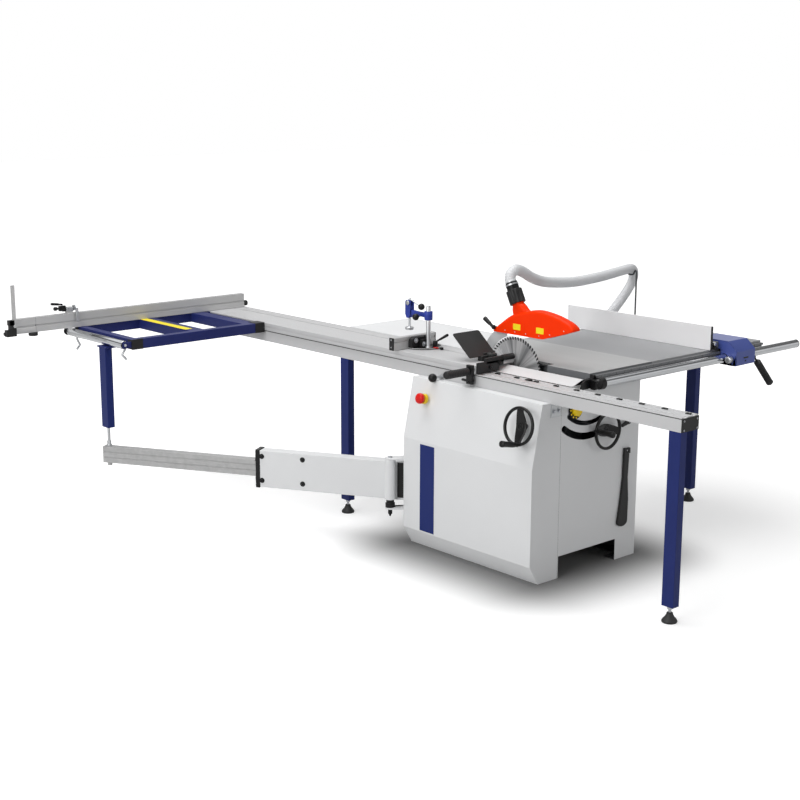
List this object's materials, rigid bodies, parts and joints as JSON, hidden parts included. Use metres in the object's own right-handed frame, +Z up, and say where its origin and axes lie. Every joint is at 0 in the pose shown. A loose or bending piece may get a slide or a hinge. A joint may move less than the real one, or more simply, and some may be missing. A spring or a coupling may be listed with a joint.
{
  "type": "sliding table saw",
  "caption": "Cabinet table saw with a tilting, rising blade, a long sliding carriage, an outrigger frame on a telescopic swing arm, crosscut and rip fences, and a hooded guard with a dust hose.",
  "frame": {"origin": "on the floor at the middle of the cabinet's footprint, which is the middle of its four floor bolt holes", "axes": "+X to the right of an operator who stands at the front, +Y to the rear along the carriage's travel, +Z up"},
  "size_m": [2.911, 3.167, 1.2749],
  "materials": {
    "white_paint": "powder coat",
    "blue_paint": "powder coat",
    "orange_guard": "satin",
    "black_plastic": "fine texture",
    "yellow_plastic": "satin",
    "red_plastic": "gloss",
    "anodised": "brushed",
    "cast_table": "ground",
    "grey_casting": "cast",
    "steel": "ground",
    "chrome": "polished",
    "black_rubber": "matte",
    "hose_white": "ribbed"
  },
  "bodies": {
    "base": {"cabinet_body": "white_paint", "side_cover": "white_paint", "beam_mounts": "black_rubber", "main_table": "cast_table", "table_insert": "anodised", "extension_table": "cast_table", "rear_table": "white_paint", "beam": "anodised", "beam_end_caps": "black_plastic", "support_legs": "blue_paint", "levelling_feet": "black_plastic", "dust_cover": "white_paint", "guide_tube": "chrome", "tube_sockets": "black_plastic", "scale_rail": "anodised", "hose_hanger": "steel", "dust_port": "black_plastic", "arm_bracket": "white_paint", "stop_button_base": "yellow_plastic", "dust_hose": "hose_white"},
    "stop_button": {"stop_button": "red_plastic"},
    "side_wheel": {"side_handwheel": "black_plastic"},
    "tilt_unit": {"saw_cradle": "grey_casting"},
    "front_wheel": {"front_handwheel": "black_plastic"},
    "lift_unit": {"arbor_carrier": "grey_casting", "motor": "grey_casting", "drive_belt": "black_rubber", "riving_knife": "steel", "blade_guard": "orange_guard", "guard_spout": "black_plastic"},
    "blade": {"saw_blade": "steel", "arbor_shaft": "steel"},
    "motor_pulley": {"motor_pulley": "steel"},
    "guard_lever": {"guard_lever": "black_plastic"},
    "tilt_lock": {"tilt_lock_knob": "yellow_plastic"},
    "height_lock": {"height_lock_lever": "black_plastic"},
    "push_stick": {"push_stick": "black_plastic"},
    "carriage_lock": {"carriage_lock_pin": "black_plastic"},
    "fence_unit": {"rip_fence": "anodised", "fence_head": "blue_paint"},
    "fence_lever": {"fence_lever": "black_plastic"},
    "fence_knob": {"fence_knob": "black_plastic"},
    "carriage": {"carriage": "anodised", "push_handle": "black_plastic", "edging_shoe": "black_plastic", "outrigger_frame": "blue_paint", "outrigger_post": "blue_paint", "crosscut_fence": "anodised"},
    "roller_cage": {"roller_cage": "steel"},
    "mitre": {"mitre_fence": "anodised", "clamp_column": "chrome"},
    "mitre_lever": {"mitre_lever": "black_plastic"},
    "clamp_arm": {"clamp_arm": "blue_paint"},
    "clamp_spindle": {"clamp_spindle": "steel"},
    "outrigger_roller": {"outrigger_roller": "chrome"},
    "fence_extension": {"fence_extension": "anodised"},
    "flip_stop": {"flip_stop": "steel"},
    "end_stop": {"end_stop": "anodised"},
    "arm": {"arm_sleeve": "white_paint"},
    "arm_inner": {"arm_tube": "anodised"}
  },
  "joints": [
    {"name": "carriage_slide", "type": "slide", "parent": "base", "child": "carriage", "axis": [0, -1, 0], "range_m": [0, 1.6]},
    {"name": "roller_cage_slide", "type": "slide", "parent": "base", "child": "roller_cage", "axis": [0, -1, 0], "range_m": [0, 0.8]},
    {"name": "arm_swing", "type": "hinge", "parent": "base", "child": "arm", "pos_m": [-0.373, 0.4525, 0], "axis": [0, 0, 1], "range_deg": [0, 88.5]},
    {"name": "arm_extend", "type": "slide", "parent": "arm", "child": "arm_inner", "axis": [-0.5085, 0.8611, 0], "range_m": [-0.6945, 0]},
    {"name": "blade_tilt", "type": "hinge", "parent": "base", "child": "tilt_unit", "pos_m": [0.008, 0.0495, 0.865], "axis": [0, 1, 0], "range_deg": [0, 45], "deforming": ["dust_hose"]},
    {"name": "blade_lift", "type": "slide", "parent": "tilt_unit", "child": "lift_unit", "axis": [0, 0, 1], "range_m": [-0.08, 0], "deforming": ["dust_hose"]},
    {"name": "side_wheel_turn", "type": "hinge", "parent": "base", "child": "side_wheel", "pos_m": [-0.30479, -0.3215, 0.671], "axis": [-0.979, 0, 0.204], "range_deg": [0, 720.5]},
    {"name": "front_wheel_turn", "type": "hinge", "parent": "tilt_unit", "child": "front_wheel", "pos_m": [0.09082, -0.3895, 0.61012], "axis": [0, -1, 0], "range_deg": [-720.5, 0]},
    {"name": "blade_spin", "type": "hinge", "parent": "lift_unit", "child": "blade", "pos_m": [0.008, 0.0495, 0.805], "axis": [1, 0, 0], "continuous": true},
    {"name": "motor_pulley_spin", "type": "hinge", "parent": "lift_unit", "child": "motor_pulley", "pos_m": [0.12, -0.0105, 0.615], "axis": [1, 0, 0], "continuous": true},
    {"name": "guard_lever_turn", "type": "hinge", "parent": "lift_unit", "child": "guard_lever", "pos_m": [-0.03, 0.1575, 0.996], "axis": [1, 0, 0], "range_deg": [0, 25]},
    {"name": "fence_slide", "type": "slide", "parent": "base", "child": "fence_unit", "axis": [1, 0, 0], "range_m": [-0.75, 0.2]},
    {"name": "fence_lever_turn", "type": "hinge", "parent": "fence_unit", "child": "fence_lever", "pos_m": [0.952, -0.4995, 0.817], "axis": [0, -1, 0], "range_deg": [-50, 0]},
    {"name": "fence_knob_turn", "type": "hinge", "parent": "fence_unit", "child": "fence_knob", "pos_m": [0.84, -0.4735, 0.825], "axis": [1, 0, 0], "range_deg": [-360, 360]},
    {"name": "stop_button_press", "type": "slide", "parent": "base", "child": "stop_button", "axis": [0.979, 0, -0.204], "range_m": [0, 0.005], "stiffness_N_per_m": 800},
    {"name": "tilt_lock_turn", "type": "hinge", "parent": "base", "child": "tilt_lock", "pos_m": [-0.085, -0.3875, 0.725], "axis": [0, -1, 0], "range_deg": [-90, 90]},
    {"name": "height_lock_turn", "type": "hinge", "parent": "base", "child": "height_lock", "pos_m": [0.256, -0.3875, 0.622], "axis": [0, -1, 0], "range_deg": [-35, 35]},
    {"name": "push_stick_swing", "type": "hinge", "parent": "base", "child": "push_stick", "pos_m": [0.26, -0.3945, 0.49], "axis": [0, 1, 0], "range_deg": [-8, 25]},
    {"name": "carriage_lock_pull", "type": "slide", "parent": "base", "child": "carriage_lock", "axis": [-1, 0, 0], "range_m": [0, 0.012], "stiffness_N_per_m": 600},
    {"name": "mitre_swivel", "type": "hinge", "parent": "carriage", "child": "mitre", "pos_m": [-0.102, 0.5365, 0.865], "axis": [0, 0, 1], "range_deg": [-45, 45]},
    {"name": "mitre_lever_turn", "type": "hinge", "parent": "mitre", "child": "mitre_lever", "pos_m": [-0.09, 0.4625, 0.87], "axis": [0, 0, 1], "range_deg": [-30, 30]},
    {"name": "clamp_arm_slide", "type": "slide", "parent": "mitre", "child": "clamp_arm", "axis": [0, 0, 1], "range_m": [-0.045, 0.015]},
    {"name": "clamp_spindle_screw", "type": "slide", "parent": "clamp_arm", "child": "clamp_spindle", "axis": [0, 0, 1], "range_m": [-0.005, 0.036]},
    {"name": "outrigger_roller_spin", "type": "hinge", "parent": "carriage", "child": "outrigger_roller", "pos_m": [-1.055, 1.8125, 0.842], "axis": [0, 1, 0], "continuous": true},
    {"name": "fence_extension_slide", "type": "slide", "parent": "carriage", "child": "fence_extension", "axis": [-1, 0, 0], "range_m": [0, 0.55]},
    {"name": "flip_stop_turn", "type": "hinge", "parent": "carriage", "child": "flip_stop", "pos_m": [-1.065, 2.0635, 0.958], "axis": [1, 0, 0], "range_deg": [-110, 0]},
    {"name": "end_stop_turn", "type": "hinge", "parent": "fence_extension", "child": "end_stop", "pos_m": [-1.38, 2.0325, 0.911], "axis": [0, 1, 0], "range_deg": [-90, 0]}
  ],
  "couplings": [
    {"joint": "roller_cage_slide", "follows": "carriage_slide", "ratio": 0.5},
    {"joint": "arm_swing", "follows": "carriage_slide", "rad_per_m": 0.9643},
    {"joint": "arm_extend", "follows": "carriage_slide", "ratio": -0.4335},
    {"joint": "side_wheel_turn", "follows": "blade_tilt", "ratio": 16},
    {"joint": "front_wheel_turn", "follows": "blade_lift", "rad_per_m": 157.08},
    {"joint": "motor_pulley_spin", "follows": "blade_spin", "ratio": 0.7778}
  ]
}
